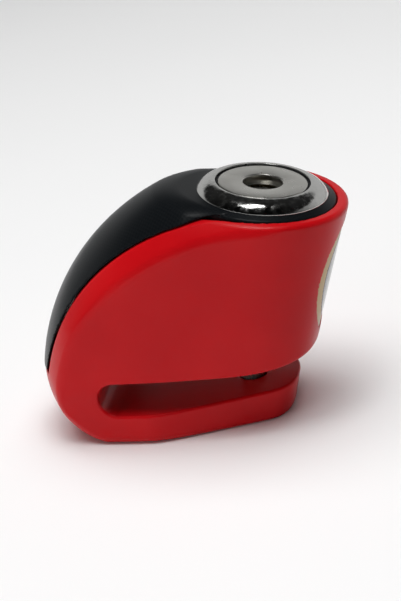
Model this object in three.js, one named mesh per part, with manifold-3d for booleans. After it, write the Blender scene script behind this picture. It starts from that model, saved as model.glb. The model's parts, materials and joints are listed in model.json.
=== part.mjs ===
// A motorcycle disc brake lock: a painted casting with a slot that goes over the brake disc,
// and a push-down lock barrel that drives a pin across the slot.
//
// Millimetres, +Z up. The part stands on its flat underside. +X points out of the open end of
// the slot, and Y is the width. Inside, every size is measured from the pin centre on the slot
// floor; the barrel parts also use W, the distance from that point along the leaning barrel axis.
import * as THREE from 'three';
import { mergeVertices } from 'three/addons/utils/BufferGeometryUtils.js';
import Module from 'manifold-3d';

const wasm = await Module();
wasm.setup();

// ---------- driving dimensions ----------
const SLOT_GAP = 7;                // height of the slot that takes the disc
const JAW_THICKNESS = 6.3;         // solid metal under the slot
const SLOT_END_X = -24.5;          // centre of the slot's round closed end
const PIN_FROM_CENTRE = 8.86;      // pin centre, ahead of the middle of the part
const LEAN = THREE.MathUtils.degToRad(11);   // barrel axis, leaning toward the nose
const GAP = 0.3;                   // clearance between fitted pieces
const SLIVER = 0.01;               // smallest feature kept after a cut
const FINE = 0.1;                  // clearance inside the lock core

const CROWN = { x: 4.75, z: -2.5, radius: 46.5 };      // side view of the black spine
const COVER_SEAT = { x: 2.8, z: -4.9, radius: 43.3 };  // side view of the spine's underside
const COVER_TIP_Z = 8.1;           // lower end of the spine cover at the tail
const COVER_FRONT = -3;            // where the spine meets the collar, behind the barrel axis
const TONGUE = { from: 112, to: 152, lid: 2, root: 36, halfWidth: 6.5 };   // degrees round the crown
const CROSS_RADIUS = 19.5;         // roundness across the spine
const TAIL_RADIUS = 12.5;          // side view of the lower tail corner
const HALF_WIDTH_LOW = 15.5;       // half width at the slot ceiling
const HALF_WIDTH_HIGH = 16;        // half width at the rim
const EDGE_RADIUS = 1.5;           // rounding along the underside
const NOSE_SLOPE = 0.347;          // how far the nose leans out for each millimetre up
const NOSE_CORNER = 1.3;           // rounding between the nose and the slot ceiling

const RIM_W = 37.9;                // top of the red rim
const RIM_RADIUS = 16.3;           // a little outside the red rim
const COLLAR = { radius: 14.1, floor: 35.6 };   // seat of the black collar round the bezel
const BEZEL = { radius: 12.33, bore: 8.9, base: 38.57, top: 40.49, skirt: 35.9, lip: 0.45, groove: 9.7 };
const BEZEL_SHOULDER = { radius: 3.84, sweep: THREE.MathUtils.degToRad(60) };   // its domed front
const BARREL = { radius: 8.4, bottom: 16, top: 40.3, chamber: 5.7, chamberBottom: 25.4, chamberTop: 38.3 };
const BORE_FLOOR_W = 13;
const SPRING_SPACE = { inner: 4.1, outer: 7.4, top: 18.8 };
const MAIN_SPRING = { radius: 5.8, wire: 1, turns: 4 };
const LATCH_SPRING = { radius: 0.95, wire: 0.5, end: 6.1, turns: 5 };
const TRAVEL = 10.5;               // how far the barrel rises when it is unlocked
const KEY_HOLE_RADIUS = 3.73;
const PIN_RADIUS = 2.5;
const PIN_TIP_W = -3;
const PIN_HEAD_W = 21.8;
const CROSS_PIN = { w: 20.3, radius: 0.7, halfLength: 8 };
const BUSH = { radius: 4.2, bore: 2.65, bottom: 8, top: 12.9 };
const LATCH = { halfWidth: 2.6, bottom: 22.75, top: 25, reach: 9.7, back: 1.5 };
const CAM = { offset: 1.1, radius: 0.6, restAngle: THREE.MathUtils.degToRad(225) };
const SCREW = { w: 29, radius: 1.9, tipRadius: 1.2, tip: 7.25, shoulder: 9.1, head: 12.6 };
const CORE = { radius: 5.4, bore: 4.7, bottom: 25.6, floor: 27, top: 37.9 };
const DISC = { count: 7, radius: 4.5, thickness: 0.95, keyRadius: 3.1, keyFlat: 1.5 };
const SPACER_THICKNESS = 0.25;
const GUARD_THICKNESS = 1;
const BADGE = { centreZ: 20.2, halfHeight: 11.3, halfWidth: 8.6, ring: 2.2, top: 0.3, under: 0.9, seat: 1 };

// ---------- materials ----------
const finish = (color, roughness, metalness) =>
  new THREE.MeshStandardMaterial({ color, roughness, metalness });
const RED_PAINT = finish(0xc4161c, 0.22, 0.1);
const BLACK_PLASTIC = finish(0x16181b, 0.35, 0.0);
const CHROME = finish(0xd8dadc, 0.08, 1.0);
const SATIN_NICKEL = finish(0xb9b7b2, 0.35, 1.0);
const BRASS = finish(0xb8934a, 0.35, 1.0);
const STEEL = finish(0x9a9da1, 0.35, 1.0);
const RUBBER = finish(0x101010, 0.8, 0.0);
const PALE_GOLD = finish(0xc7b06a, 0.3, 1.0);
const SLATE = finish(0x6c6f74, 0.3, 0.2);

// ---------- solids ----------
function solid(geometry) {
  const bare = geometry.clone();
  bare.deleteAttribute('normal');
  bare.deleteAttribute('uv');
  const merged = mergeVertices(bare, 1e-4);
  const vertProperties = new Float32Array(merged.attributes.position.array);
  const triVerts = new Uint32Array(merged.index.array);
  return new wasm.Manifold(new wasm.Mesh({ numProp: 3, vertProperties, triVerts }));
}

// Slivers thinner than SLIVER are folded away, so that every face is a real one.
function toGeometry(manifold) {
  const mesh = manifold.simplify(SLIVER).getMesh();
  const geometry = new THREE.BufferGeometry();
  geometry.setAttribute('position', new THREE.BufferAttribute(new Float32Array(mesh.vertProperties), 3));
  geometry.setIndex(new THREE.BufferAttribute(new Uint32Array(mesh.triVerts), 1));
  return geometry;
}

// A closed skin over rings of points, one ring per station, with a fan over each end.
function loft(rings) {
  const count = rings[0].length;
  const points = rings.flat();
  const index = [];
  for (let r = 0; r + 1 < rings.length; r += 1) {
    for (let k = 0; k < count; k += 1) {
      const next = (k + 1) % count;
      const a = r * count + k;
      const b = r * count + next;
      index.push(a, b, b + count, a, b + count, a + count);
    }
  }
  for (const [r, turn] of [[0, false], [rings.length - 1, true]]) {
    const middle = points.length;
    const centre = new THREE.Vector3();
    rings[r].forEach((p) => centre.addScaledVector(p, 1 / count));
    points.push(centre);
    for (let k = 0; k < count; k += 1) {
      const a = r * count + k;
      const b = r * count + ((k + 1) % count);
      index.push(...(turn ? [middle, a, b] : [middle, b, a]));
    }
  }
  const geometry = new THREE.BufferGeometry().setFromPoints(points);
  geometry.setIndex(index);
  if (signedVolume(geometry) < 0) {
    for (let i = 0; i < index.length; i += 3) [index[i], index[i + 1]] = [index[i + 1], index[i]];
    geometry.setIndex(index);
  }
  return geometry;
}

function signedVolume(geometry) {
  const p = geometry.attributes.position;
  const corner = (i) => new THREE.Vector3().fromBufferAttribute(p, geometry.index.array[i]);
  let sum = 0;
  for (let i = 0; i < geometry.index.count; i += 3) {
    sum += corner(i).dot(corner(i + 1).cross(corner(i + 2)));
  }
  return sum / 6;
}

// A turned piece about its own Z axis; the profile is a list of [radius, height] that closes on itself.
function turned(profile, segments = 32) {
  const points = [...profile, profile[0]].map(([r, z]) => new THREE.Vector2(r, z));
  return new THREE.LatheGeometry(points, segments).rotateX(Math.PI / 2);
}

function tube(inner, outer, bottom, top, segments = 32) {
  return turned([[inner, bottom], [outer, bottom], [outer, top], [inner, top]], segments);
}

function rod(radius, bottom, top, segments = 24) {
  const geometry = new THREE.CylinderGeometry(radius, radius, top - bottom, segments);
  return geometry.rotateX(Math.PI / 2).translate(0, 0, (top + bottom) / 2);
}

function rodAlongX(radius, from, to, z, segments = 20) {
  return new THREE.CylinderGeometry(radius, radius, to - from, segments)
    .rotateZ(-Math.PI / 2)
    .translate((from + to) / 2, 0, z);
}

function rodAlongY(radius, halfLength, z, segments = 12) {
  return new THREE.CylinderGeometry(radius, radius, 2 * halfLength, segments).translate(0, 0, z);
}

function block([x0, x1], [y0, y1], [z0, z1]) {
  return new THREE.BoxGeometry(x1 - x0, y1 - y0, z1 - z0)
    .translate((x0 + x1) / 2, (y0 + y1) / 2, (z0 + z1) / 2);
}

// Turns a geometry from barrel coordinates (X, Y, W) into the casting's own.
const leaning = (geometry) => geometry.rotateY(LEAN);

// A flat shape in the side view (X across, Z up), made `width` thick and centred on the middle plane.
function sidePlate(shape, width, segments = 24) {
  return new THREE.ExtrudeGeometry(shape, { depth: width, bevelEnabled: false, curveSegments: segments })
    .translate(0, 0, -width / 2)
    .rotateX(Math.PI / 2);
}

const mix = THREE.MathUtils.lerp;
const smooth = THREE.MathUtils.smoothstep;

// ---------- the outer form ----------
// Half width in the plan view at height z: a blunt nose low down grows into a round one at the rim,
// and the jaw under the slot tapers to a rounded end.
function noseX(z) {
  const above = THREE.MathUtils.clamp(NOSE_CORNER - (z - SLOT_GAP), 0, NOSE_CORNER);
  const corner = NOSE_CORNER - Math.sqrt(NOSE_CORNER ** 2 - above ** 2);
  const upper = 13.8 + NOSE_SLOPE * (z - SLOT_GAP) - corner;
  const jaw = 9.4 + 0.28 * z;
  return mix(jaw, upper, smooth(z, 1, SLOT_GAP - 1));
}

function halfWidth(x, z) {
  const rise = THREE.MathUtils.clamp((z - SLOT_GAP) / (36 - SLOT_GAP), 0, 1);
  const tailTaper = 0.0035 * Math.max(0, -10 - x) ** 2;
  const upperSide = mix(HALF_WIDTH_LOW, HALF_WIDTH_HIGH, rise) - tailTaper;
  const taperFrom = Math.max(0, x + 19);
  const jawSide = 15.2 - 0.34 * taperFrom ** 2 / (taperFrom + 4) - tailTaper;
  const isUpper = smooth(z, 1, SLOT_GAP - 1);
  const side = mix(jawSide, upperSide, isUpper);
  const roundFrom = mix(-2, mix(-6, 7, rise), isUpper);
  const power = mix(8, mix(3, 2, rise), isUpper);
  const root = mix(2.2, mix(2.6, 2, rise), isUpper);
  const along = THREE.MathUtils.clamp((x - roundFrom) / (noseX(z) - roundFrom), 0, 1);
  return side * (1 - along ** power) ** (1 / root);
}

// The plan outline at height z, drawn in by `inset` where the underside's edge is rounded.
function planRing(z, inset) {
  const steps = 26;
  const tail = -45;
  const nose = noseX(z);
  const half = [];
  for (let i = 0; i <= steps; i += 1) {
    const along = i / steps;
    // stations bunch up toward the nose, where the outline turns
    const x = tail + (nose - tail) * Math.sin((Math.PI / 2) * along);
    const back = inset * along ** 8;
    const inward = inset * Math.min(1, 2 * (1 - along ** 12));
    half.push([x - back, Math.max(0, halfWidth(x, z) - inward)]);
  }
  half[steps][1] = 0;
  const near = half.map(([x, y]) => new THREE.Vector3(x, -y, z));
  const far = half.slice(0, steps).reverse().map(([x, y]) => new THREE.Vector3(x, y, z));
  return [...near, ...far];
}

function planBody() {
  const rings = [];
  for (const turn of [0, 30, 60, 90]) {
    const angle = THREE.MathUtils.degToRad(turn);
    const z = -JAW_THICKNESS + EDGE_RADIUS * (1 - Math.cos(angle));
    rings.push(planRing(z, EDGE_RADIUS * (1 - Math.sin(angle))));
  }
  for (const z of [-1, 1, 3.5, 6]) rings.push(planRing(z, 0));
  for (const lift of [0, 0.2, 0.65, 1.3]) rings.push(planRing(SLOT_GAP + lift, 0));
  for (const z of [14, 20, 26, 31, 36, 46]) rings.push(planRing(z, 0));
  return solid(loft(rings));
}

// Side view at one distance across: over the crown, round the tail corner and along the underside.
// The crown's roundness across fades out round the tail corner, so that the underside is flat.
function sideOutline(across) {
  const drop = CROSS_RADIUS - Math.sqrt(CROSS_RADIUS ** 2 - across ** 2);
  const points = [];
  const tailZ = TAIL_RADIUS - JAW_THICKNESS;
  const reach = CROWN.radius - TAIL_RADIUS;
  const crownEnd = Math.PI - Math.asin((tailZ - CROWN.z) / reach);
  const tail = { x: CROWN.x + reach * Math.cos(crownEnd), z: tailZ, radius: TAIL_RADIUS };
  const push = ({ x, z, radius }, angle, share) => {
    const inner = radius - drop * share;
    points.push(new THREE.Vector3(x + inner * Math.cos(angle), across, z + inner * Math.sin(angle)));
  };
  const crownStart = THREE.MathUtils.degToRad(62);
  const crownSteps = 20;
  for (let i = 0; i <= crownSteps; i += 1) push(CROWN, mix(crownStart, crownEnd, i / crownSteps), 1);
  const tailSteps = 10;
  for (let i = 1; i <= tailSteps; i += 1) {
    const turn = i / tailSteps;
    push(tail, mix(crownEnd, 1.5 * Math.PI, turn), (1 - turn ** 1.6) ** 1.2);
  }
  points.push(new THREE.Vector3(40, across, -JAW_THICKNESS));
  points.push(new THREE.Vector3(40, across, CROWN.z + 20));
  return points;
}

function sideBody() {
  const limit = 17;
  const steps = 14;
  const rings = [];
  for (let i = 0; i <= steps; i += 1) rings.push(sideOutline(mix(-limit, limit, i / steps)));
  return solid(loft(rings));
}

// A disc-shaped region in the side view, wide enough to cut right through.
function roundPlate({ x, z, radius }, grow, width = 60, segments = 96) {
  const shape = new THREE.Shape();
  shape.absarc(x, z, radius + grow, 0, 2 * Math.PI);
  return solid(sidePlate(shape, width, segments));
}

// The tongue on the casting that locates the spine cover.
function spineTongue(grow) {
  const wider = grow / TONGUE.root;
  const from = THREE.MathUtils.degToRad(TONGUE.from) - wider;
  const to = THREE.MathUtils.degToRad(TONGUE.to) + wider;
  const shape = new THREE.Shape();
  shape.absarc(CROWN.x, CROWN.z, CROWN.radius - TONGUE.lid + grow, from, to, false);
  shape.absarc(CROWN.x, CROWN.z, TONGUE.root, to, from, true);
  return solid(sidePlate(shape, 2 * (TONGUE.halfWidth + grow), 24));
}

function slotCutter() {
  const half = SLOT_GAP / 2;
  const shape = new THREE.Shape();
  shape.moveTo(40, 0);
  shape.lineTo(40, SLOT_GAP);
  shape.lineTo(SLOT_END_X, SLOT_GAP);
  shape.absarc(SLOT_END_X, half, half, Math.PI / 2, (3 * Math.PI) / 2, false);
  shape.lineTo(40, 0);
  return solid(sidePlate(shape, 60, 16));
}

// Everything above the rim, with the counterbores for the collar and the bezel below it.
function rimCutter() {
  return solid(leaning(turned([
    [0, BEZEL.skirt - GAP],
    [BEZEL.radius - 0.03, BEZEL.skirt - GAP],
    [BEZEL.radius - 0.03, COLLAR.floor],
    [COLLAR.radius, COLLAR.floor],
    [COLLAR.radius, RIM_W],
    [RIM_RADIUS - 1.2, RIM_W - 0.1],
    [RIM_RADIUS - 0.5, RIM_W - 0.5],
    [RIM_RADIUS, RIM_W - 1.3],
    [70, RIM_W - 1.3],
    [70, 80],
    [0, 80],
  ], 64)));
}

// ---------- badge on the nose ----------
const noseAngle = Math.atan(NOSE_SLOPE);

function oval(across, up) {
  const shape = new THREE.Shape();
  shape.absellipse(0, 0, across, up, 0, 2 * Math.PI);
  return shape;
}

const noseNormal = new THREE.Vector3(Math.cos(noseAngle), 0, -Math.sin(noseAngle));

// An oval column that stands on the nose, square to its front line and through its skin.
function noseColumn(shape) {
  const inward = 4;
  const frame = new THREE.Matrix4().makeBasis(
    new THREE.Vector3(0, 1, 0),
    new THREE.Vector3(Math.sin(noseAngle), 0, Math.cos(noseAngle)),
    noseNormal,
  );
  frame.setPosition(noseX(BADGE.centreZ), 0, BADGE.centreZ);
  const options = { depth: 2 * inward, bevelEnabled: false, curveSegments: 12 };
  const column = new THREE.ExtrudeGeometry(shape, options);
  return solid(column.translate(0, 0, -inward).applyMatrix4(frame));
}

const outerForm = planBody().intersect(sideBody());

// The outer form moved straight back from the nose, so that what lies on it keeps the nose's curve.
function setBack(depth) {
  const { x, y, z } = noseNormal.clone().multiplyScalar(-depth);
  return outerForm.translate(x, y, z);
}

function badgeLayer(shape) {
  return noseColumn(shape).intersect(setBack(BADGE.top)).subtract(setBack(BADGE.under));
}

function badgeRing() {
  const shape = oval(BADGE.halfWidth, BADGE.halfHeight);
  shape.holes.push(oval(BADGE.halfWidth - BADGE.ring, BADGE.halfHeight - BADGE.ring));
  return badgeLayer(shape);
}

function badgeInsert() {
  const inner = BADGE.ring + FINE;
  return badgeLayer(oval(BADGE.halfWidth - inner, BADGE.halfHeight - inner));
}

// ---------- casting and cover ----------
function casting() {
  const latchGroove = solid(leaning(block([-10.3, -8], [-2.9, 2.9], [LATCH.bottom - GAP, 38])));
  const barrelBore = solid(leaning(rod(BEZEL.bore, BORE_FLOOR_W, 40, 48)));
  const bushSeat = solid(leaning(rod(BUSH.radius + 0.15, SLOT_GAP - 2, BORE_FLOOR_W + 1, 24)));
  const pinReceiver = solid(leaning(rod(PIN_RADIUS + 0.5, PIN_TIP_W - 0.6, 2, 24)));
  const screwHole = solid(leaning(rodAlongX(SCREW.radius + 0.2, 8, 20, SCREW.w)));
  const badgeOutline = oval(BADGE.halfWidth + FINE, BADGE.halfHeight + FINE);
  const badgeSeat = noseColumn(badgeOutline).subtract(setBack(BADGE.seat));
  const coverSpace = solid(block([-60, 10], [-30, 30], [COVER_TIP_Z - GAP, 60]))
    .intersect(solid(leaning(block([-80, COVER_FRONT], [-30, 30], [-30, 60]))))
    .subtract(roundPlate(COVER_SEAT, -GAP));
  return outerForm
    .subtract(coverSpace)
    .add(outerForm.intersect(spineTongue(0)))
    .subtract(rimCutter())
    .subtract(slotCutter())
    .subtract(latchGroove)
    .subtract(barrelBore)
    .subtract(bushSeat)
    .subtract(pinReceiver)
    .subtract(screwHole)
    .subtract(badgeSeat);
}

// The cover's spine and the collar round the bezel are one moulding.
function spineCover() {
  const upper = solid(block([-60, 10], [-30, 30], [COVER_TIP_Z, 60]));
  const underPlane = solid(leaning(turned([
    [0, 0], [60, 0], [60, BEZEL.base], [BEZEL.radius, BEZEL.base], [0, BEZEL.base],
  ], 48)));
  const spine = outerForm
    .intersect(upper)
    .intersect(underPlane)
    .subtract(roundPlate(COVER_SEAT, 0))
    .subtract(spineTongue(GAP));
  const behindCollar = solid(leaning(block([-80, COVER_FRONT - GAP], [-30, 30], [-30, 60])));
  const outside = COLLAR.radius - GAP;
  const hole = BEZEL.radius + GAP;
  const collar = solid(leaning(turned([
    [hole, BEZEL.skirt], [outside, BEZEL.skirt], [outside, RIM_W + 0.05], [hole, BEZEL.base],
  ], 64)));
  const bezelHole = solid(leaning(rod(hole, 20, 60, 64)));
  return spine.intersect(behindCollar).add(collar).subtract(bezelHole);
}

// ---------- barrel ----------
function bezelRing() {
  const { radius, bore, base, top, skirt, lip, groove } = BEZEL;
  const profile = [[bore, skirt], [radius - GAP, skirt], [radius - GAP, base], [radius, base]];
  const steps = 8;
  const flatEdge = radius - BEZEL_SHOULDER.radius * Math.sin(BEZEL_SHOULDER.sweep);
  for (let i = 0; i <= steps; i += 1) {
    const angle = BEZEL_SHOULDER.sweep * (1 - i / steps);
    profile.push([
      flatEdge + BEZEL_SHOULDER.radius * Math.sin(angle),
      top - BEZEL_SHOULDER.radius * (1 - Math.cos(angle)),
    ]);
  }
  const grooveFloor = top - 1.4;
  profile.push([bore, top], [bore, top - lip], [groove, top - lip], [groove, grooveFloor], [bore, grooveFloor]);
  return turned(profile, 48);
}

function barrelSeal() {
  return tube(BARREL.radius + 0.1, BEZEL.groove - 0.1, BEZEL.top - 1.3, BEZEL.top - 0.6, 48);
}

function barrelHousing() {
  const { radius, bottom, top, chamber, chamberBottom, chamberTop } = BARREL;
  const stopGroove = block([7, 10], [-1.5, 1.5], [SCREW.w - TRAVEL - 1.4, SCREW.w + 1.4]);
  const latchSlot = block(
    [-10, 6.3],
    [-LATCH.halfWidth - 0.15, LATCH.halfWidth + 0.15],
    [LATCH.bottom - 0.15, chamberBottom + 0.5],
  );
  return solid(rod(radius, bottom, top, 48))
    .subtract(solid(tube(SPRING_SPACE.inner, SPRING_SPACE.outer, bottom - 1, SPRING_SPACE.top)))
    .subtract(solid(rod(chamber, chamberBottom, chamberTop, 40)))
    .subtract(solid(rod(KEY_HOLE_RADIUS, chamberTop - 1, top + 1, 40)))
    .subtract(solid(rod(PIN_RADIUS + FINE, bottom - 1, PIN_HEAD_W + FINE, 24)))
    .subtract(solid(rodAlongY(CROSS_PIN.radius + 0.15, 20, CROSS_PIN.w)))
    .subtract(solid(stopGroove))
    .subtract(solid(latchSlot));
}

function lockPin() {
  const chamfer = 0.8;
  const body = turned([
    [0, PIN_TIP_W], [PIN_RADIUS - chamfer, PIN_TIP_W], [PIN_RADIUS, PIN_TIP_W + chamfer],
    [PIN_RADIUS, PIN_HEAD_W], [0, PIN_HEAD_W],
  ], 24);
  return solid(body).subtract(solid(rodAlongY(CROSS_PIN.radius + 0.15, 10, CROSS_PIN.w)));
}

function latchBolt() {
  const camSlot = block([-1.75, 0.15], [-2.0, 0.2], [20, 30]);
  const { reach, back, halfWidth, bottom, top } = LATCH;
  return solid(block([-reach, back], [-halfWidth, halfWidth], [bottom, top])).subtract(solid(camSlot));
}

// ---------- lock core ----------
const camX = CAM.offset * Math.cos(CAM.restAngle);
const camY = CAM.offset * Math.sin(CAM.restAngle);

function coreDrum() {
  const { radius, bore, bottom, floor, top } = CORE;
  const camPin = rod(CAM.radius, 23.2, bottom + 0.4, 12).translate(camX, camY, 0);
  const sidebarSlot = block([3.5, 7], [-0.8, 0.8], [floor + 0.2, top + 1]);
  return solid(rod(radius, bottom, top, 40))
    .subtract(solid(rod(bore, floor, top + 1, 40)))
    .subtract(solid(sidebarSlot))
    .add(solid(camPin));
}

// A half-moon key turns the discs, so their holes are round with one flat.
function keyedDisc(radius, thickness, turn, hasNotch) {
  const shape = new THREE.Shape();
  const notchAngle = Math.asin(0.8 / radius);
  if (hasNotch) {
    shape.absarc(0, 0, radius, notchAngle, 2 * Math.PI - notchAngle, false);
    shape.lineTo(radius - 0.8, -0.8);
    shape.lineTo(radius - 0.8, 0.8);
  } else {
    shape.absarc(0, 0, radius, 0, 2 * Math.PI, false);
  }
  const flatAngle = Math.acos(DISC.keyFlat / DISC.keyRadius);
  const hole = new THREE.Path();
  hole.absarc(0, 0, DISC.keyRadius, turn + flatAngle, turn + 2 * Math.PI - flatAngle, false);
  hole.closePath();
  shape.holes.push(hole);
  return new THREE.ExtrudeGeometry(shape, { depth: thickness, bevelEnabled: false, curveSegments: 12 });
}

function sidebar() {
  return block([3.85, 5.3], [-0.65, 0.65], [CORE.floor + 0.4, CORE.top - 0.3]);
}

// ---------- springs ----------
class Helix extends THREE.Curve {
  constructor(radius, bottom, top, turns) {
    super();
    Object.assign(this, { radius, bottom, top, turns });
  }

  getPoint(t) {
    const angle = 2 * Math.PI * this.turns * t;
    const z = mix(this.bottom, this.top, t);
    return new THREE.Vector3(this.radius * Math.cos(angle), this.radius * Math.sin(angle), z);
  }
}

function spring(radius, wire, bottom, top, turns, sides) {
  const section = new THREE.Shape();
  section.absarc(0, 0, wire / 2, 0, 2 * Math.PI);
  return new THREE.ExtrudeGeometry(section, {
    extrudePath: new Helix(radius, bottom + wire / 2, top - wire / 2, turns),
    steps: Math.round(turns * 12),
    curveSegments: sides / 2,
    bevelEnabled: false,
  });
}

// ---------- assembly ----------
const lock = new THREE.Group();
lock.position.set(PIN_FROM_CENTRE, 0, JAW_THICKNESS);

const barrelAxis = new THREE.Group();
barrelAxis.rotation.y = LEAN;
lock.add(barrelAxis);

function piece(parent, name, shape, material) {
  const geometry = shape instanceof THREE.BufferGeometry ? shape : toGeometry(shape);
  const mesh = new THREE.Mesh(geometry, material);
  mesh.name = name;
  parent.add(mesh);
  return mesh;
}

piece(lock, 'body', casting(), RED_PAINT);
piece(lock, 'spine_cover', spineCover(), BLACK_PLASTIC);
piece(lock, 'badge_ring', badgeRing(), PALE_GOLD);
piece(lock, 'badge_insert', badgeInsert(), SLATE);

piece(barrelAxis, 'bezel_ring', bezelRing(), CHROME);
piece(barrelAxis, 'barrel_seal', barrelSeal(), RUBBER);
piece(barrelAxis, 'barrel_housing', barrelHousing(), SATIN_NICKEL);
piece(barrelAxis, 'lock_pin', lockPin(), STEEL);
piece(barrelAxis, 'pin_cross_pin', rodAlongY(CROSS_PIN.radius, CROSS_PIN.halfLength, CROSS_PIN.w), STEEL);
piece(barrelAxis, 'pin_guide_bush', tube(BUSH.bore, BUSH.radius, BUSH.bottom, BUSH.top, 24), STEEL);
const { radius: coil, wire, turns } = MAIN_SPRING;
const mainSpring = spring(coil, wire, BORE_FLOOR_W + 0.2, SPRING_SPACE.top - 0.2, turns, 8);
piece(barrelAxis, 'main_spring', mainSpring, STEEL);

const stopScrew = solid(rodAlongX(SCREW.radius, SCREW.shoulder, SCREW.head, SCREW.w))
  .add(solid(rodAlongX(SCREW.tipRadius, SCREW.tip, SCREW.shoulder + 0.2, SCREW.w)))
  .subtract(solid(block([SCREW.head - 1, SCREW.head + 1], [-3, 3], [SCREW.w - 0.35, SCREW.w + 0.35])));
piece(barrelAxis, 'stop_screw', stopScrew, STEEL);

piece(barrelAxis, 'latch_bolt', latchBolt(), STEEL);
const { radius: latchCoil, wire: latchWire, end: latchEnd, turns: latchTurns } = LATCH_SPRING;
const latchSpring = spring(latchCoil, latchWire, LATCH.back + 0.15, latchEnd, latchTurns, 6)
  .rotateY(Math.PI / 2)
  .translate(0, 0, (LATCH.bottom + LATCH.top) / 2);
piece(barrelAxis, 'latch_spring', latchSpring, STEEL);

piece(barrelAxis, 'core_drum', coreDrum(), BRASS);
piece(barrelAxis, 'sidebar', sidebar(), STEEL);

const stackStep = DISC.thickness + SPACER_THICKNESS + 2 * FINE;
for (let i = 0; i < DISC.count; i += 1) {
  const lift = CORE.floor + FINE + i * stackStep;
  const turn = THREE.MathUtils.degToRad(i % 2 ? 6 : -6);
  piece(barrelAxis, `detainer_disc_${i + 1}`, keyedDisc(DISC.radius, DISC.thickness, turn, true), BRASS)
    .position.z = lift;
  if (i + 1 === DISC.count) break;
  const spacer = tube(DISC.keyRadius + 0.2, 3.6, 0, SPACER_THICKNESS, 16);
  piece(barrelAxis, `disc_spacer_${i + 1}`, spacer, STEEL).position.z = lift + DISC.thickness + FINE;
}
const guardLift = CORE.floor + FINE + DISC.count * stackStep - SPACER_THICKNESS - FINE;
const guardDisc = keyedDisc(DISC.radius, GUARD_THICKNESS, 0, true);
piece(barrelAxis, 'guard_disc', guardDisc, STEEL).position.z = guardLift;

const part = new THREE.Group();
part.add(lock);
export default part;
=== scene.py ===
"""Looks for the disc brake lock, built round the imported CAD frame.

Shapes are worked out in millimetres from the pin centre on the slot floor: x toward the nose,
z up, square to the slot. Barrel parts use w, the distance along the leaning barrel axis.
"""

import json
import math

import bpy
import numpy as np
from mathutils import Matrix, Vector


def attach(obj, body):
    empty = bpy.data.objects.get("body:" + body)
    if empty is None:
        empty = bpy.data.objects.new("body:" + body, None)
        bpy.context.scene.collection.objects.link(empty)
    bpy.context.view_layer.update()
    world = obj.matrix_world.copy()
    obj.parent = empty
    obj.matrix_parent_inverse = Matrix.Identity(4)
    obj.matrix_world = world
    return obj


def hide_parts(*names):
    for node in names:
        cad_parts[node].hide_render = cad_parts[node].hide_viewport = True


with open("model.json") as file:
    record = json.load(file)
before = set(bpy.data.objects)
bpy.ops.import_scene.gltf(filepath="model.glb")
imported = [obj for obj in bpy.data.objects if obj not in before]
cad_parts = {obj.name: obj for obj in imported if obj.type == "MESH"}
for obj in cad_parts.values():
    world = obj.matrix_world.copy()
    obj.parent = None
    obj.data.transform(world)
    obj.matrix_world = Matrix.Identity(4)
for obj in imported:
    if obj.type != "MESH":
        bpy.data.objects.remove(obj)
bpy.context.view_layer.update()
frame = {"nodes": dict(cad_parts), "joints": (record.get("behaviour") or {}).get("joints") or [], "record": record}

MM = 0.001

joints = {joint["name"]: joint for joint in frame["joints"]}
PIN_CENTRE = Vector(joints["core_turn"]["pos_m"])
AXIS = Vector(joints["core_turn"]["axis"]).normalized()
LEAN = math.atan2(AXIS.x, AXIS.z)
TO_WORLD = Matrix.Translation(PIN_CENTRE) @ Matrix.Scale(MM, 4)
BARREL_TO_WORLD = TO_WORLD @ Matrix.Rotation(LEAN, 4, "Y")

# ---------- sizes in millimetres, the CAD part's or within a few tenths of them ----------
GAP = 0.3

# slot and jaw
SLOT_GAP = 7.0
SLOT_END_X = -24.5
SLOT_EDGE = 0.55
JAW_THICKNESS = 6.3
JAW_TIP_X, JAW_TIP_RISE = 9.4, 0.28
JAW_HALF_WIDTH = 15.2
JAW_TAPER, JAW_TAPER_FROM_X = 0.34, -19

# side outline: the crown's circle, the tail's corner and the cover's seat
CROWN_X, CROWN_Z, CROWN_RADIUS = 4.75, -2.5, 46.5
SEAT_X, SEAT_Z, SEAT_RADIUS = 2.8, -4.9, 43.3
TAIL_RADIUS = 12.5
TAIL_TAPER, TAIL_TAPER_FROM_X = 0.0035, -10
CROSS_RADIUS = 19.5      # the crown's curve across the lock
CROSS_MARGIN = 1.5       # keeps that curve short of upright

# sides and nose
HALF_WIDTH_LOW, HALF_WIDTH_HIGH = 15.5, 16
HALF_WIDTH_HIGH_Z = 36
NOSE_X, NOSE_RISE = 13.8, 0.347
NOSE_CORNER = 1.3
NOSE_SLOPE = math.atan(NOSE_RISE)

# rounding of the casting's edges
CREASE_EDGE = 0.7
UNDER_EDGE_TAIL, UNDER_EDGE_JAW = 2.0, 1.0
RIM_W, RIM_EDGE = 37.9, 1.1

# cover and its collar
COVER_TIP_Z = 7.9
COVER_PROUD = 0.2
SPINE_END_U = -3.0
SPINE_FLOW = 11          # how far back the spine starts to turn into the collar
COLLAR_RADIUS = 14.05
COLLAR_SLOPE = 0.45
COLLAR_SEAT_W = 35.6
SKIRT_W = 35.9           # underside of the collar and of the bezel

# bezel
BEZEL_RADIUS = 12.33
BEZEL_BORE = 8.9
BEZEL_BASE = 38.57
BEZEL_TOP = 40.49
BEZEL_DOME_RADIUS, BEZEL_DOME_SWEEP = 3.84, 60
BEZEL_GROOVE = 9.7
BEZEL_LIP = 0.45
BEZEL_GROOVE_DEPTH = 1.4

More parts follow.
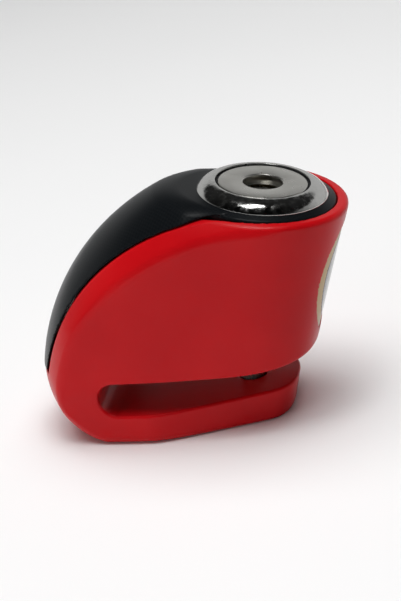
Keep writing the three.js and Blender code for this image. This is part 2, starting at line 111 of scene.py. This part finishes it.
# barrel
BARREL_RADIUS = 8.4
BARREL_BOTTOM = 16.0
BARREL_TOP = 40.3
BARREL_EDGE = 0.25
CHAMBER_RADIUS, CHAMBER_BOTTOM, CHAMBER_TOP = 5.7, 25.4, 38.3
SPRING_INNER, SPRING_OUTER, SPRING_TOP = 4.1, 7.4, 18.8
KEY_HOLE_RADIUS = 3.73
TRAVEL = 10.5
STOP_SCREW_W = 29.0
STOP_GROOVE_FLOOR_U, STOP_GROOVE_HALF_WIDTH, STOP_GROOVE_SPARE = 7, 1.5, 1.4
LATCH_SLOT_END_U, LATCH_SLOT_HALF_WIDTH = 6.3, 2.75
LATCH_SLOT_BOTTOM, LATCH_SLOT_TOP = 22.6, 25.9
CUT_OUT_U = 10           # past the barrel's side

# bore and pin
BORE_FLOOR_W = 13
BUSH_HOLE_RADIUS = 4.35
BUSH_FLOOR_W = 5
PIN_RADIUS = 2.5
PIN_TIP_W = -3.0
PIN_HEAD_W = 21.8
PIN_CHAMFER = 0.8
PIN_BORE_RADIUS = 2.62
PIN_AXIS_HOLE = 0.01     # leaves the pin's ring profile off the axis

# badge
BADGE_Z = 20.2
BADGE_HALF_WIDTH = 8.6
BADGE_HALF_HEIGHT = 11.3
BADGE_RING = 2.2
BADGE_SEAT = 1.0
BADGE_TOP, BADGE_UNDER = 0.25, 0.9
BADGE_BEHIND_X = 8       # nothing of the badge lies behind this

GRID = 0.3
BADGE_GRID = 0.2


# ---------- smooth solid arithmetic on distance fields ----------
def mix(a, b, t):
    return a + (b - a) * t


def ramp(value, low, high):
    t = np.clip((value - low) / (high - low), 0, 1)
    return t * t * (3 - 2 * t)


def both(a, b, radius):
    """Where both fields are inside, with a rounded edge of this radius."""
    u = np.maximum(a + radius, 0)
    v = np.maximum(b + radius, 0)
    return np.minimum(np.maximum(a, b), -radius) + np.hypot(u, v)


def either(a, b, radius):
    return -both(-a, -b, radius)


def without(a, b, radius):
    return both(a, -b, radius)


def as_distance(field, x, y, z, step=0.02):
    """A field divided by its own slope, which makes it a distance near its surface."""
    value = field(x, y, z)
    slope_x = (field(x + step, y, z) - value) / step
    slope_y = (field(x, y + step, z) - value) / step
    slope_z = (field(x, y, z + step) - value) / step
    slope = np.sqrt(slope_x ** 2 + slope_y ** 2 + slope_z ** 2)
    return value / np.maximum(slope, 1e-3)


# ---------- the casting's outer form ----------
def above_slot(z):
    """0 in the jaw and 1 above the slot."""
    return ramp(z, 1, SLOT_GAP - 1)


def nose_x(z):
    above = np.clip(NOSE_CORNER - (z - SLOT_GAP), 0, NOSE_CORNER)
    corner = NOSE_CORNER - np.sqrt(NOSE_CORNER ** 2 - above ** 2)
    upper = NOSE_X + NOSE_RISE * (z - SLOT_GAP) - corner
    jaw = JAW_TIP_X + JAW_TIP_RISE * z
    return mix(jaw, upper, above_slot(z))


def plan_form(x, y, z):
    """Below zero inside the plan outline: blunt low down, round at the rim, tapered in the jaw."""
    rise = np.clip((z - SLOT_GAP) / (HALF_WIDTH_HIGH_Z - SLOT_GAP), 0, 1)
    upper = above_slot(z)
    tail_taper = TAIL_TAPER * np.maximum(0, TAIL_TAPER_FROM_X - x) ** 2
    upper_side = mix(HALF_WIDTH_LOW, HALF_WIDTH_HIGH, rise) - tail_taper
    past = np.maximum(0, x - JAW_TAPER_FROM_X)
    jaw_side = JAW_HALF_WIDTH - JAW_TAPER * past ** 2 / (past + 4) - tail_taper
    side = mix(jaw_side, upper_side, upper)

    def at_level(jaw, low, rim):
        return mix(jaw, mix(low, rim, rise), upper)

    round_from = at_level(-2, -6, 7)
    power = at_level(8, 3, 2)
    root = at_level(2.2, 2.6, 2)
    along = np.maximum(0, (x - round_from) / (nose_x(z) - round_from))
    return (np.abs(y) / np.maximum(side, 1)) ** root + along ** power - 1


def side_form(x, y, z):
    """Distance outside the crowned side outline: spine, tail corner and flat underside."""
    reach = np.minimum(np.abs(y), CROSS_RADIUS - CROSS_MARGIN)
    drop = CROSS_RADIUS - np.sqrt(CROSS_RADIUS ** 2 - reach ** 2)
    steep = reach / np.sqrt(CROSS_RADIUS ** 2 - reach ** 2)
    corner_z = TAIL_RADIUS - JAW_THICKNESS
    lift = corner_z - CROWN_Z
    back = math.sqrt((CROWN_RADIUS - TAIL_RADIUS) ** 2 - lift ** 2)
    corner_x = CROWN_X - back
    tail_from = math.pi - math.asin(lift / (CROWN_RADIUS - TAIL_RADIUS))

    dx, dz = x - CROWN_X, z - CROWN_Z
    crown_depth = CROWN_RADIUS - np.hypot(dx, dz)

    cx, cz = corner_x - x, corner_z - z
    turned = np.arctan2(cz, cx) - (tail_from - math.pi)
    turn = np.clip(turned / (math.pi / 2 + math.pi - tail_from), 0, 1)
    tail_share = (1 - turn ** 1.6) ** 1.2
    tail_depth = TAIL_RADIUS - np.hypot(cx, cz)

    in_tail = (turned > 0) & (cx > 0)
    depth = np.where(in_tail, tail_depth, crown_depth)
    share = np.where(in_tail, tail_share, 1.0)
    crowned = (share * drop - depth) / np.sqrt(1 + (share * steep) ** 2)
    return np.maximum(crowned, -(z + JAW_THICKNESS))


def outer_form(x, y, z):
    sides = as_distance(plan_form, x, y, z)
    low = ramp(z, 2, -3)
    under_edge = mix(UNDER_EDGE_TAIL, UNDER_EDGE_JAW, ramp(x, -20, 5))
    return both(sides, side_form(x, y, z), mix(CREASE_EDGE, under_edge, low))


def barrel_coordinates(x, y, z):
    u = x * math.cos(LEAN) - z * math.sin(LEAN)
    w = x * math.sin(LEAN) + z * math.cos(LEAN)
    return u, w, np.hypot(u, y)


def slot(x, z):
    straight = np.abs(z - SLOT_GAP / 2) - SLOT_GAP / 2
    round_end = np.hypot(x - SLOT_END_X, z - SLOT_GAP / 2) - SLOT_GAP / 2
    return np.where(x > SLOT_END_X, straight, round_end)


def up_the_nose(x, z):
    """Distance up the nose's slope from the badge's centre."""
    fx = x - float(nose_x(np.array(BADGE_Z)))
    fz = z - BADGE_Z
    return fx * math.sin(NOSE_SLOPE) + fz * math.cos(NOSE_SLOPE)


def badge_oval(x, y, z, inset):
    """Distance outside an oval column that stands on the nose."""
    up = up_the_nose(x, z)
    half_width = BADGE_HALF_WIDTH - inset
    half_height = BADGE_HALF_HEIGHT - inset
    reach = np.hypot(y / half_width, up / half_height)
    slope = np.hypot(y / half_width ** 2, up / half_height ** 2)
    return (reach - 1) * reach / np.maximum(slope, 1e-3)


def set_back(x, y, z, depth):
    """The outer form moved straight back from the nose."""
    return outer_form(x + depth * math.cos(NOSE_SLOPE), y, z - depth * math.sin(NOSE_SLOPE))


def badge_well(x, y, z):
    near_nose = np.maximum(badge_oval(x, y, z, -0.12), BADGE_BEHIND_X - x)
    return np.maximum(near_nose, -set_back(x, y, z, BADGE_SEAT))


def badge_layer(x, y, z):
    layer = both(set_back(x, y, z, BADGE_TOP), -set_back(x, y, z, BADGE_UNDER), 0.05)
    return np.maximum(layer, BADGE_BEHIND_X - x)


def badge_ring(x, y, z):
    layer = both(badge_layer(x, y, z), badge_oval(x, y, z, 0), 0.15)
    return without(layer, badge_oval(x, y, z, BADGE_RING), 0.1)


def badge_insert(x, y, z):
    return both(badge_layer(x, y, z), badge_oval(x, y, z, BADGE_RING + 0.04), 0.1)


def casting(x, y, z):
    u, w, r = barrel_coordinates(x, y, z)
    form = both(outer_form(x, y, z), w - RIM_W, RIM_EDGE)
    seat = SEAT_RADIUS - GAP - np.hypot(x - SEAT_X, z - SEAT_Z)
    seat = np.maximum(seat, np.maximum(COVER_TIP_Z - GAP - z, u - SPINE_END_U))
    collar = np.maximum(r - COLLAR_RADIUS, COLLAR_SEAT_W - w)
    form = without(form, either(seat, collar, 1.5), 0.2)
    form = without(form, slot(x, z), SLOT_EDGE)
    form = without(form, np.maximum(r - BEZEL_BORE, BORE_FLOOR_W - w), 0.1)
    form = without(form, np.maximum(r - BUSH_HOLE_RADIUS, BUSH_FLOOR_W - w), 0.1)
    pin_hole_depth = np.maximum(PIN_TIP_W - 0.6 - w, w - 3)
    form = without(form, np.maximum(r - PIN_RADIUS - 0.2, pin_hole_depth), 0.35)
    return without(form, badge_well(x, y, z), 0.2)


def spine_cover(x, y, z):
    u, w, r = barrel_coordinates(x, y, z)
    top = w - BEZEL_BASE
    cone = (top + COLLAR_SLOPE * (r - BEZEL_RADIUS)) / math.hypot(1, COLLAR_SLOPE)
    collar_wall = r - COLLAR_RADIUS + 0.12
    flow = ramp(u, SPINE_END_U - SPINE_FLOW, SPINE_END_U)
    proud = mix(outer_form(x, y, z) - COVER_PROUD, collar_wall, flow)
    spine_top = mix(top, cone, flow)
    under = SEAT_RADIUS - np.hypot(x - SEAT_X, z - SEAT_Z)
    spine = both(both(proud, spine_top, mix(1.5, 0.4, flow)), under, 0.3)
    spine = both(spine, COVER_TIP_Z - z, 0.6)
    spine = np.maximum(spine, u - SPINE_END_U)
    collar = both(both(collar_wall, cone, 0.4), SKIRT_W - w, 0.2)
    return without(np.minimum(spine, collar), r - BEZEL_RADIUS + 0.2, 0.1)


# ---------- meshes ----------
EDGES = [(a, a ^ bit) for bit in (1, 2, 4) for a in range(8) if not a & bit]


def sample(field, low, high, step):
    """The field on a grid; only points near the surface are worked out, the rest keep a coarse sign."""
    coarse = 4
    near_cells = 2.2
    counts = [int(math.ceil((h - l) / (step * coarse))) * coarse + 1 for l, h in zip(low, high)]
    axes = [l + step * np.arange(n) for l, n in zip(low, counts)]
    rough_axes = [axis[::coarse] for axis in axes]
    rough = field(*np.meshgrid(*rough_axes, indexing="ij"))
    near = np.abs(rough) < step * coarse * near_cells
    index = [
        np.minimum((np.arange(n) + coarse // 2) // coarse, len(axis) - 1)
        for n, axis in zip(counts, rough_axes)
    ]
    values = rough[np.ix_(*index)]
    mask = near[np.ix_(*index)]
    i, j, k = np.nonzero(mask)
    values[mask] = field(axes[0][i], axes[1][j], axes[2][k])
    return axes, values


def surface_mesh(field, low, high, step):
    """One vertex in every grid cell that the surface passes through, joined by quads."""
    axes, values = sample(field, low, high, step)
    inside = values < 0
    corners = [
        tuple(slice(1, None) if c >> bit & 1 else slice(None, -1) for bit in range(3))
        for c in range(8)
    ]
    filled = sum(inside[c].astype(np.int8) for c in corners)
    cells = np.nonzero((filled > 0) & (filled < 8))
    number = -np.ones(filled.shape, dtype=np.int64)
    number[cells] = np.arange(len(cells[0]))
    corner_value = [values[c][cells] for c in corners]
    total = np.zeros((len(cells[0]), 3))
    count = np.zeros(len(cells[0]))
    for a, b in EDGES:
        crossed = (corner_value[a] < 0) != (corner_value[b] < 0)
        span = np.where(crossed, corner_value[a] - corner_value[b], 1)
        t = np.where(crossed, corner_value[a] / span, 0)
        for bit in range(3):
            start = a >> bit & 1
            end = b >> bit & 1
            total[:, bit] += np.where(crossed, start + (end - start) * t, 0)
        count += crossed
    base = np.stack([axes[bit][cells[bit]] for bit in range(3)], axis=1)
    points = base + step * total / count[:, None]

    quads = []
    for bit in range(3):
        ahead = [slice(None)] * 3
        behind = [slice(None)] * 3
        ahead[bit] = slice(1, None)
        behind[bit] = slice(None, -1)
        starts = inside[tuple(behind)]
        ends = inside[tuple(ahead)]
        others = [(bit + 1) % 3, (bit + 2) % 3]
        where = np.stack(np.nonzero(starts != ends), axis=1)
        fits = np.ones(len(where), dtype=bool)
        for other in others:
            fits &= (where[:, other] > 0) & (where[:, other] < number.shape[other])
        where = where[fits]
        leaves = starts[tuple(where.T)]
        around = []
        for da, db in ((1, 1), (0, 1), (0, 0), (1, 0)):
            cell = where.copy()
            cell[:, others[0]] -= da
            cell[:, others[1]] -= db
            around.append(number[tuple(cell.T)])
        quad = np.stack(around, axis=1)
        quad[~leaves] = quad[~leaves][:, ::-1]
        quads.append(quad)
    return settle(field, points, step), np.concatenate(quads)


def gradient(field, points, step=0.01):
    shifts = np.eye(3) * step
    return np.stack(
        [(field(*(points + s).T) - field(*(points - s).T)) / (2 * step) for s in shifts], axis=1
    )


def settle(field, points, step):
    """Moves each vertex along the field's slope until it lies on the surface."""
    start = points.copy()
    for _ in range(4):
        slope = gradient(field, points)
        size = np.maximum((slope ** 2).sum(axis=1), 1e-4)
        points = points - 0.8 * slope * (field(*points.T) / size)[:, None]
        away = points - start
        length = np.linalg.norm(away, axis=1, keepdims=True)
        points = start + away * np.minimum(1, 0.7 * step / np.maximum(length, 1e-9))
    return points


def add_object(name, verts, faces, matrix, smooth=True):
    mesh = bpy.data.meshes.new(name)
    mesh.from_pydata([tuple(v) for v in verts], [], [tuple(f) for f in faces])
    mesh.transform(matrix)
    mesh.validate()
    mesh.update()
    for polygon in mesh.polygons:
        polygon.use_smooth = smooth
    obj = bpy.data.objects.new(name, mesh)
    bpy.context.scene.collection.objects.link(obj)
    return obj


def field_object(name, field, low, high, step):
    points, quads = surface_mesh(field, low, high, step)
    obj = add_object(name, points, quads, TO_WORLD)
    slope = gradient(field, points)
    normals = slope / np.linalg.norm(slope, axis=1, keepdims=True)
    if len(obj.data.vertices) == len(normals):
        obj.data.normals_split_custom_set_from_vertices([tuple(n) for n in normals])
    return obj


def revolve(name, profile, segments):
    """A closed ring profile of (radius, w), turned about the barrel axis."""
    rings = len(profile)
    verts = []
    for s in range(segments):
        angle = 2 * math.pi * s / segments
        verts += [(r * math.cos(angle), r * math.sin(angle), w) for r, w in profile]
    faces = []
    for s in range(segments):
        n = (s + 1) % segments
        for k in range(rings):
            m = (k + 1) % rings
            faces.append((s * rings + k, n * rings + k, n * rings + m, s * rings + m))
    return add_object(name, verts, faces, BARREL_TO_WORLD)


# faces of a block whose corners are listed with z changing first, then y, then x
BLOCK_FACES = [(0, 1, 3, 2), (4, 6, 7, 5), (0, 4, 5, 1), (2, 3, 7, 6), (0, 2, 6, 4), (1, 5, 7, 3)]


def cut_block(obj, across_u, across_y, along_w):
    """Takes a block out of a barrel part; each pair gives the block's two ends in one direction."""
    corners = [(u, y, w) for u in across_u for y in across_y for w in along_w]
    cutter = add_object("cutter", corners, BLOCK_FACES, BARREL_TO_WORLD, False)
    modifier = obj.modifiers.new("cut", "BOOLEAN")
    modifier.operation = "DIFFERENCE"
    modifier.solver = "EXACT"
    modifier.object = cutter
    bpy.context.view_layer.update()
    evaluated = obj.evaluated_get(bpy.context.evaluated_depsgraph_get())
    mesh = bpy.data.meshes.new_from_object(evaluated)
    obj.modifiers.clear()
    obj.data = mesh
    bpy.data.objects.remove(cutter)


def arc(centre, radius, start, end, steps):
    points = []
    for i in range(steps + 1):
        angle = math.radians(mix(start, end, i / steps))
        points.append((centre[0] + radius * math.cos(angle), centre[1] + radius * math.sin(angle)))
    return points


# ---------- materials ----------
def new_material(name):
    material = bpy.data.materials.new(name)
    material.use_nodes = True
    nodes = material.node_tree.nodes
    return material, nodes, material.node_tree.links, nodes["Principled BSDF"]


def add_noise(nodes, links, scale, detail=3.0):
    place = nodes.new("ShaderNodeTexCoord")
    noise = nodes.new("ShaderNodeTexNoise")
    noise.inputs["Scale"].default_value = scale
    noise.inputs["Detail"].default_value = detail
    links.new(place.outputs["Object"], noise.inputs["Vector"])
    return noise


def add_ramp(nodes, links, source, stops):
    colours = nodes.new("ShaderNodeValToRGB")
    elements = colours.color_ramp.elements
    for element, (position, colour) in zip(elements, stops):
        element.position = position
        element.color = colour
    links.new(source, colours.inputs["Fac"])
    return colours


def add_bump(nodes, links, shader, height, strength, distance):
    bump = nodes.new("ShaderNodeBump")
    bump.inputs["Strength"].default_value = strength
    bump.inputs["Distance"].default_value = distance
    links.new(height, bump.inputs["Height"])
    links.new(bump.outputs["Normal"], shader.inputs["Normal"])


def grey(value):
    return (value, value, value, 1)


def metal(name, colour, roughness, spread, scale=900.0, bump=0.02, metallic=1.0):
    """A metal with fine uneven polish."""
    material, nodes, links, shader = new_material(name)
    shader.inputs["Metallic"].default_value = metallic
    noise = add_noise(nodes, links, scale)
    tint = add_ramp(nodes, links, noise.outputs["Fac"], [
        (0.3, tuple(c * 0.93 for c in colour) + (1,)),
        (0.7, tuple(min(1, c * 1.05) for c in colour) + (1,)),
    ])
    links.new(tint.outputs["Color"], shader.inputs["Base Color"])
    polish = add_ramp(nodes, links, noise.outputs["Fac"], [
        (0.3, grey(roughness)), (0.7, grey(roughness + spread)),
    ])
    links.new(polish.outputs["Color"], shader.inputs["Roughness"])
    add_bump(nodes, links, shader, noise.outputs["Fac"], bump, 0.0002)
    return material


def red_paint():
    material, nodes, links, shader = new_material("red_paint")
    cloud = add_noise(nodes, links, 55.0, 2.0)
    colour = add_ramp(nodes, links, cloud.outputs["Fac"], [
        (0.35, (0.46, 0.003, 0.006, 1)), (0.65, (0.51, 0.005, 0.008, 1)),
    ])
    links.new(colour.outputs["Color"], shader.inputs["Base Color"])
    shader.inputs["Roughness"].default_value = 0.3
    shader.inputs["Specular IOR Level"].default_value = 0.10
    shader.inputs["Coat Weight"].default_value = 0.12
    shader.inputs["Coat Roughness"].default_value = 0.08
    peel = add_noise(nodes, links, 650.0, 1.0)
    add_bump(nodes, links, shader, peel.outputs["Fac"], 0.06, 0.0002)
    return material


def black_cover():
    """Semi-gloss black moulding with a faint fine check weave."""
    material, nodes, links, shader = new_material("black_cover")
    place = nodes.new("ShaderNodeTexCoord")
    apart = nodes.new("ShaderNodeSeparateXYZ")
    links.new(place.outputs["Object"], apart.inputs["Vector"])

    def math_node(operation, a, b):
        node = nodes.new("ShaderNodeMath")
        node.operation = operation
        for socket, value in zip(node.inputs, (a, b)):
            if isinstance(value, (int, float)):
                socket.default_value = value
            else:
                links.new(value, socket)
        return node.outputs["Value"]

    centre = TO_WORLD @ Vector((CROWN_X, 0, CROWN_Z))
    dx = math_node("SUBTRACT", apart.outputs["X"], centre.x)
    dz = math_node("SUBTRACT", apart.outputs["Z"], centre.z)
    along = math_node("MULTIPLY", math_node("ARCTAN2", dz, dx), CROWN_RADIUS * MM)
    weave = nodes.new("ShaderNodeCombineXYZ")
    links.new(along, weave.inputs["X"])
    links.new(apart.outputs["Y"], weave.inputs["Y"])
    check = nodes.new("ShaderNodeTexChecker")
    check.inputs["Scale"].default_value = 1 / (0.45 * MM)
    links.new(weave.outputs["Vector"], check.inputs["Vector"])
    check.inputs["Color1"].default_value = grey(0.0)
    check.inputs["Color2"].default_value = grey(1.0)
    colour = add_ramp(nodes, links, check.outputs["Fac"], [
        (0.0, (0.0035, 0.0045, 0.0055, 1)), (1.0, (0.006, 0.007, 0.008, 1)),
    ])
    links.new(colour.outputs["Color"], shader.inputs["Base Color"])
    gloss = add_ramp(nodes, links, check.outputs["Fac"], [(0.0, grey(0.30)), (1.0, grey(0.34))])
    links.new(gloss.outputs["Color"], shader.inputs["Roughness"])
    threads = nodes.new("ShaderNodeTexWave")
    threads.inputs["Scale"].default_value = 1 / (1.6 * MM)
    threads.inputs["Distortion"].default_value = 0.6
    links.new(weave.outputs["Vector"], threads.inputs["Vector"])
    half_check = math_node("MULTIPLY", check.outputs["Fac"], 0.5)
    height = math_node("ADD", half_check, threads.outputs["Fac"])
    add_bump(nodes, links, shader, height, 0.03, 0.0001)
    shader.inputs["Specular IOR Level"].default_value = 0.15
    return material


def rubber():
    material, nodes, links, shader = new_material("seal_rubber")
    noise = add_noise(nodes, links, 1500.0)
    colour = add_ramp(nodes, links, noise.outputs["Fac"], [
        (0.3, (0.010, 0.010, 0.011, 1)), (0.7, (0.020, 0.020, 0.022, 1)),
    ])
    links.new(colour.outputs["Color"], shader.inputs["Base Color"])
    shader.inputs["Roughness"].default_value = 0.7
    add_bump(nodes, links, shader, noise.outputs["Fac"], 0.1, 0.0002)
    return material


def badge_grey():
    material, nodes, links, shader = new_material("badge_grey")
    noise = add_noise(nodes, links, 300.0)
    colour = add_ramp(nodes, links, noise.outputs["Fac"], [
        (0.3, (0.10, 0.105, 0.115, 1)), (0.7, (0.14, 0.145, 0.155, 1)),
    ])
    links.new(colour.outputs["Color"], shader.inputs["Base Color"])
    shader.inputs["Roughness"].default_value = 0.22
    shader.inputs["Coat Weight"].default_value = 0.5
    add_bump(nodes, links, shader, noise.outputs["Fac"], 0.03, 0.0001)
    return material


MATERIALS = {
    "red_paint": red_paint(),
    "black_cover": black_cover(),
    "chrome": metal("chrome", (0.66, 0.66, 0.64), 0.04, 0.22, 900.0, 0.12),
    "barrel_nickel": metal("barrel_nickel", (0.80, 0.79, 0.74), 0.26, 0.12, 420.0, 0.04),
    "seal_rubber": rubber(),
    "core_brass": metal("core_brass", (0.22, 0.17, 0.10), 0.25, 0.15, 1200.0, 0.02, 0.8),
    "hard_steel": metal("hard_steel", (0.36, 0.35, 0.32), 0.22, 0.12, 1200.0, 0.02, 0.8),
    "spring_steel": metal("spring_steel", (0.45, 0.45, 0.46), 0.3, 0.1, 1500.0),
    "badge_gold": metal("badge_gold", (0.36, 0.26, 0.14), 0.3, 0.1, 600.0),
    "badge_grey": badge_grey(),
}


def finish_piece(obj, body, slot_name, node_replaced):
    obj.data.materials.clear()
    obj.data.materials.append(MATERIALS[slot_name])
    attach(obj, body)
    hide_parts(node_replaced)


# ---------- pieces ----------
def build_casting():
    body = field_object("casting", casting, (-43, -18, -8), (25, 18, 42), GRID)
    finish_piece(body, "casing", "red_paint", "body")
    cover = field_object("spine", spine_cover, (-43, -16, 2), (23, 16, 43), GRID)
    finish_piece(cover, "casing", "black_cover", "spine_cover")


def build_badge():
    low = (10, -9.5, 8)
    high = (25, 9.5, 33)
    ring = field_object("nose_badge_rim", badge_ring, low, high, BADGE_GRID)
    finish_piece(ring, "casing", "badge_gold", "badge_ring")
    insert = field_object("nose_badge_face", badge_insert, low, high, BADGE_GRID)
    finish_piece(insert, "casing", "badge_grey", "badge_insert")


def build_bezel():
    dome = BEZEL_DOME_RADIUS
    dome_centre = (BEZEL_RADIUS - dome * math.sin(math.radians(BEZEL_DOME_SWEEP)), BEZEL_TOP - dome)
    lip_under = BEZEL_TOP - BEZEL_LIP
    groove_floor = BEZEL_TOP - BEZEL_GROOVE_DEPTH
    foot = BEZEL_BASE - 0.1
    profile = [(BEZEL_BORE, SKIRT_W), (BEZEL_RADIUS - 0.5, SKIRT_W), (BEZEL_RADIUS - 0.5, foot)]
    profile += [(BEZEL_RADIUS - 0.05, foot)]
    profile += arc(dome_centre, dome, 90 - BEZEL_DOME_SWEEP, 90, 24)
    profile += arc((BEZEL_BORE + 0.1, BEZEL_TOP - 0.1), 0.1, 90, 180, 4)
    profile += [(BEZEL_BORE, lip_under), (BEZEL_GROOVE, lip_under)]
    profile += [(BEZEL_GROOVE, groove_floor), (BEZEL_BORE, groove_floor)]
    bezel = revolve("bezel", profile, 160)
    finish_piece(bezel, "casing", "chrome", "bezel_ring")


def build_barrel():
    edge_w = BARREL_TOP - BARREL_EDGE
    profile = arc((BARREL_RADIUS - BARREL_EDGE, edge_w), BARREL_EDGE, 0, 90, 5)
    profile += arc((KEY_HOLE_RADIUS + BARREL_EDGE, edge_w), BARREL_EDGE, 90, 180, 5)
    profile += [(KEY_HOLE_RADIUS, CHAMBER_TOP), (CHAMBER_RADIUS, CHAMBER_TOP)]
    profile += [(CHAMBER_RADIUS, CHAMBER_BOTTOM), (PIN_BORE_RADIUS, CHAMBER_BOTTOM)]
    profile += [(PIN_BORE_RADIUS, BARREL_BOTTOM), (SPRING_INNER, BARREL_BOTTOM)]
    profile += [(SPRING_INNER, SPRING_TOP), (SPRING_OUTER, SPRING_TOP)]
    profile += [(SPRING_OUTER, BARREL_BOTTOM), (BARREL_RADIUS, BARREL_BOTTOM)]
    barrel = revolve("barrel", profile, 160)
    cut_block(
        barrel,
        (STOP_GROOVE_FLOOR_U, CUT_OUT_U),
        (-STOP_GROOVE_HALF_WIDTH, STOP_GROOVE_HALF_WIDTH),
        (STOP_SCREW_W - TRAVEL - STOP_GROOVE_SPARE, STOP_SCREW_W + STOP_GROOVE_SPARE),
    )
    cut_block(
        barrel,
        (-CUT_OUT_U, LATCH_SLOT_END_U),
        (-LATCH_SLOT_HALF_WIDTH, LATCH_SLOT_HALF_WIDTH),
        (LATCH_SLOT_BOTTOM, LATCH_SLOT_TOP),
    )
    finish_piece(barrel, "barrel", "barrel_nickel", "barrel_housing")


def build_pin():
    profile = [(PIN_AXIS_HOLE, PIN_TIP_W), (PIN_RADIUS - PIN_CHAMFER, PIN_TIP_W)]
    profile += [(PIN_RADIUS, PIN_TIP_W + PIN_CHAMFER)]
    profile += [(PIN_RADIUS, PIN_HEAD_W), (PIN_AXIS_HOLE, PIN_HEAD_W)]
    pin = revolve("pin", profile, 64)
    finish_piece(pin, "barrel", "hard_steel", "lock_pin")


for build in (build_casting, build_badge, build_bezel, build_barrel, build_pin):
    build()

slot_of = {row["node"]: row["material_slot"] for row in frame["record"]["subparts"]}
for node_name, node in frame["nodes"].items():
    node.data.materials.clear()
    node.data.materials.append(MATERIALS[slot_of[node_name]])


# ---------- camera ----------
def place_camera():
    """Looks from the nose side, a little above, with the picture tipped so that the slot rises."""
    azimuth = math.radians(12.7)
    elevation = math.radians(23.84)
    roll = math.radians(10.07)
    distance = 300.0
    aim_height = 18.0
    shift_right, shift_up = 7.51, 2.05
    back = Vector((
        math.sin(azimuth) * math.cos(elevation),
        -math.cos(azimuth) * math.cos(elevation),
        math.sin(elevation),
    ))
    level = Vector((math.cos(azimuth), math.sin(azimuth), 0))
    upright = back.cross(level)
    right = math.cos(roll) * level - math.sin(roll) * upright
    up = math.sin(roll) * level + math.cos(roll) * upright
    place = Vector((0, 0, aim_height)) + distance * back - shift_right * right - shift_up * up
    data = bpy.data.cameras.new("camera")
    data.sensor_width = 36.0
    data.lens = 93.5161
    data.clip_start = 0.01
    camera = bpy.data.objects.new("camera", data)
    turn = Matrix((right, up, back)).transposed().to_4x4()
    camera.matrix_world = Matrix.Translation(TO_WORLD @ place) @ turn
    bpy.context.scene.collection.objects.link(camera)
    bpy.context.scene.camera = camera


place_camera()


# ---------- floor and light ----------
def area_light(name, place, aim, size, power):
    data = bpy.data.lights.new(name, "AREA")
    data.shape = "RECTANGLE"
    data.size, data.size_y = size
    data.energy = power
    light = bpy.data.objects.new(name, data)
    light.location = place
    light.rotation_euler = (Vector(aim) - Vector(place)).to_track_quat("-Z", "Y").to_euler()
    bpy.context.scene.collection.objects.link(light)
    return light


def build_stage():
    size = 3.0
    corners = [(-size, -size, 0), (size, -size, 0), (size, size, 0), (-size, size, 0)]
    floor = add_object("floor", corners, [(0, 1, 2, 3)], Matrix.Identity(4))
    material, nodes, links, shader = new_material("floor")
    noise = add_noise(nodes, links, 4.0)
    colour = add_ramp(nodes, links, noise.outputs["Fac"], [(0.3, grey(0.88)), (0.7, grey(0.9))])
    links.new(colour.outputs["Color"], shader.inputs["Base Color"])
    shader.inputs["Roughness"].default_value = 0.9
    floor.data.materials.append(material)
    build_world()
    aim = (0, 0, 0.02)
    overhead = area_light("overhead", (0.0, 0.0, 0.9), aim, (0.9, 0.9), 9.0)
    overhead.visible_glossy = False
    area_light("key", (0.03, -0.03, 0.42), aim, (0.16, 0.07), 0.3)
    fill = area_light("fill", (-0.6, -0.5, 0.05), aim, (0.4, 0.3), 3.0)
    fill.visible_glossy = False


def build_world():
    """Bright low down behind the object, dark overhead and in front of it."""
    world = bpy.data.worlds.new("studio")
    world.use_nodes = True
    nodes = world.node_tree.nodes
    links = world.node_tree.links
    place = nodes.new("ShaderNodeTexCoord")
    apart = nodes.new("ShaderNodeSeparateXYZ")
    links.new(place.outputs["Generated"], apart.inputs["Vector"])
    by_height = add_ramp(nodes, links, apart.outputs["Z"], [(0.46, grey(1.0)), (0.50, grey(0.04))])
    by_depth = nodes.new("ShaderNodeMapRange")
    ranges = (("From Min", -0.3), ("From Max", 0.6), ("To Min", 0.04), ("To Max", 0.5))
    for socket, value in ranges:
        by_depth.inputs[socket].default_value = value
    links.new(apart.outputs["Y"], by_depth.inputs["Value"])
    links.new(by_height.outputs["Color"], nodes["Background"].inputs["Color"])
    links.new(by_depth.outputs["Result"], nodes["Background"].inputs["Strength"])
    bpy.context.scene.world = world
    bpy.context.scene.view_settings.view_transform = "Standard"


build_stage()
